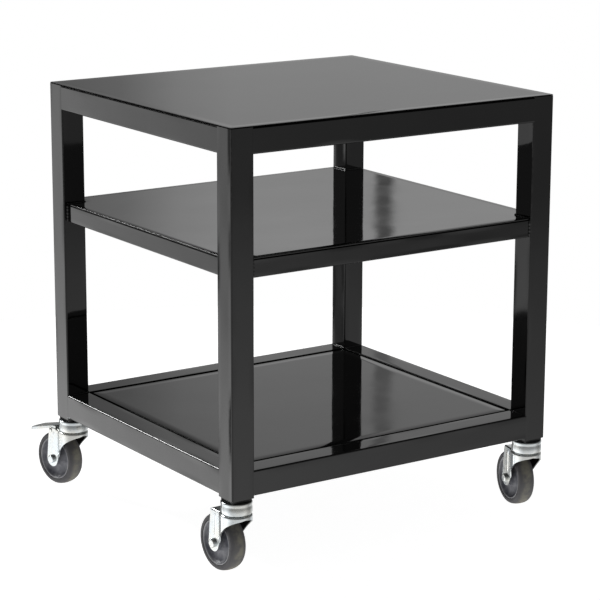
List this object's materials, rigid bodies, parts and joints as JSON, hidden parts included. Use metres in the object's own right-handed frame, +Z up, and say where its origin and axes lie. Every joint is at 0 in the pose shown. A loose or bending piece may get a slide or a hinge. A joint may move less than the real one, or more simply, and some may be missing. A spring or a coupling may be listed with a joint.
{
  "type": "rolling utility cart",
  "caption": "Open rolling utility cart: flat sheet-metal shelves in a welded square-tube frame, carried on swivel casters with brake pedals at the back.",
  "frame": {"origin": "on the floor, at the middle of the whole footprint: the frame's width from side to side, and from the front legs to the ends of the brake pedals behind", "axes": "+Z up, -Y the front of the cart, -X its left side as seen from the front; the casters trail towards +Y"},
  "size_m": [0.5578, 0.5586, 0.607],
  "materials": {
    "black_paint": "gloss black paint over welded mild steel",
    "zinc_plate": "bright zinc plate on pressed steel",
    "grey_rubber": "satin grey thermoplastic rubber",
    "grey_plastic": "satin blue-grey moulded plastic",
    "black_plastic": "matt black moulded plastic"
  },
  "bodies": {
    "frame": {"leg_front_left": "black_paint", "leg_front_right": "black_paint", "leg_rear_left": "black_paint", "leg_rear_right": "black_paint", "top_rail_front": "black_paint", "top_rail_back": "black_paint", "top_rail_left": "black_paint", "top_rail_right": "black_paint", "shelf_rail_front": "black_paint", "shelf_rail_back": "black_paint", "shelf_rail_left": "black_paint", "shelf_rail_right": "black_paint", "bottom_rail_front": "black_paint", "bottom_rail_back": "black_paint", "bottom_rail_left": "black_paint", "bottom_rail_right": "black_paint", "top_panel": "black_paint", "shelf_panel": "black_paint", "bottom_panel": "black_paint", "leg_insert_front_left": "black_plastic", "swivel_head_front_left": "zinc_plate", "stem_front_left": "zinc_plate", "leg_insert_front_right": "black_plastic", "swivel_head_front_right": "zinc_plate", "stem_front_right": "zinc_plate", "leg_insert_rear_left": "black_plastic", "swivel_head_rear_left": "zinc_plate", "stem_rear_left": "zinc_plate", "leg_insert_rear_right": "black_plastic", "swivel_head_rear_right": "zinc_plate", "stem_rear_right": "zinc_plate"},
    "fork_front_left": {"fork_front_left": "zinc_plate", "sleeve_front_left": "zinc_plate", "axle_bolt_front_left": "zinc_plate", "axle_nut_front_left": "zinc_plate"},
    "wheel_front_left": {"tyre_front_left": "grey_rubber", "hub_front_left": "grey_plastic"},
    "fork_front_right": {"fork_front_right": "zinc_plate", "sleeve_front_right": "zinc_plate", "axle_bolt_front_right": "zinc_plate", "axle_nut_front_right": "zinc_plate"},
    "wheel_front_right": {"tyre_front_right": "grey_rubber", "hub_front_right": "grey_plastic"},
    "fork_rear_left": {"fork_rear_left": "zinc_plate", "sleeve_rear_left": "zinc_plate", "axle_bolt_rear_left": "zinc_plate", "axle_nut_rear_left": "zinc_plate", "pedal_pin_rear_left": "zinc_plate"},
    "wheel_rear_left": {"tyre_rear_left": "grey_rubber", "hub_rear_left": "grey_plastic"},
    "pedal_rear_left": {"brake_pedal_rear_left": "zinc_plate"},
    "fork_rear_right": {"fork_rear_right": "zinc_plate", "sleeve_rear_right": "zinc_plate", "axle_bolt_rear_right": "zinc_plate", "axle_nut_rear_right": "zinc_plate", "pedal_pin_rear_right": "zinc_plate"},
    "wheel_rear_right": {"tyre_rear_right": "grey_rubber", "hub_rear_right": "grey_plastic"},
    "pedal_rear_right": {"brake_pedal_rear_right": "zinc_plate"}
  },
  "joints": [
    {"name": "swivel_front_left", "type": "hinge", "parent": "frame", "child": "fork_front_left", "pos_m": [-0.2475, -0.25925, 0.097], "axis": [0, 0, 1], "continuous": true},
    {"name": "wheel_spin_front_left", "type": "hinge", "parent": "fork_front_left", "child": "wheel_front_left", "pos_m": [-0.24878, -0.22728, 0.04], "axis": [0.9992, 0.0401, 0], "continuous": true},
    {"name": "swivel_front_right", "type": "hinge", "parent": "frame", "child": "fork_front_right", "pos_m": [0.2475, -0.25925, 0.097], "axis": [0, 0, 1], "continuous": true},
    {"name": "wheel_spin_front_right", "type": "hinge", "parent": "fork_front_right", "child": "wheel_front_right", "pos_m": [0.2541, -0.22794, 0.04], "axis": [0.9785, -0.2062, 0], "continuous": true},
    {"name": "swivel_rear_left", "type": "hinge", "parent": "frame", "child": "fork_rear_left", "pos_m": [-0.2475, 0.19075, 0.097], "axis": [0, 0, 1], "continuous": true},
    {"name": "wheel_spin_rear_left", "type": "hinge", "parent": "fork_rear_left", "child": "wheel_rear_left", "pos_m": [-0.2541, 0.22206, 0.04], "axis": [0.9785, 0.2062, 0], "continuous": true},
    {"name": "brake_press_rear_left", "type": "hinge", "parent": "fork_rear_left", "child": "pedal_rear_left", "pos_m": [-0.25472, 0.225, 0.0842], "axis": [0.9785, 0.2062, 0], "range_deg": [-12, 0]},
    {"name": "swivel_rear_right", "type": "hinge", "parent": "frame", "child": "fork_rear_right", "pos_m": [0.2475, 0.19075, 0.097], "axis": [0, 0, 1], "continuous": true},
    {"name": "wheel_spin_rear_right", "type": "hinge", "parent": "fork_rear_right", "child": "wheel_rear_right", "pos_m": [0.2541, 0.22206, 0.04], "axis": [0.9785, -0.2062, 0], "continuous": true},
    {"name": "brake_press_rear_right", "type": "hinge", "parent": "fork_rear_right", "child": "pedal_rear_right", "pos_m": [0.25472, 0.225, 0.0842], "axis": [0.9785, -0.2062, 0], "range_deg": [-12, 0]}
  ]
}
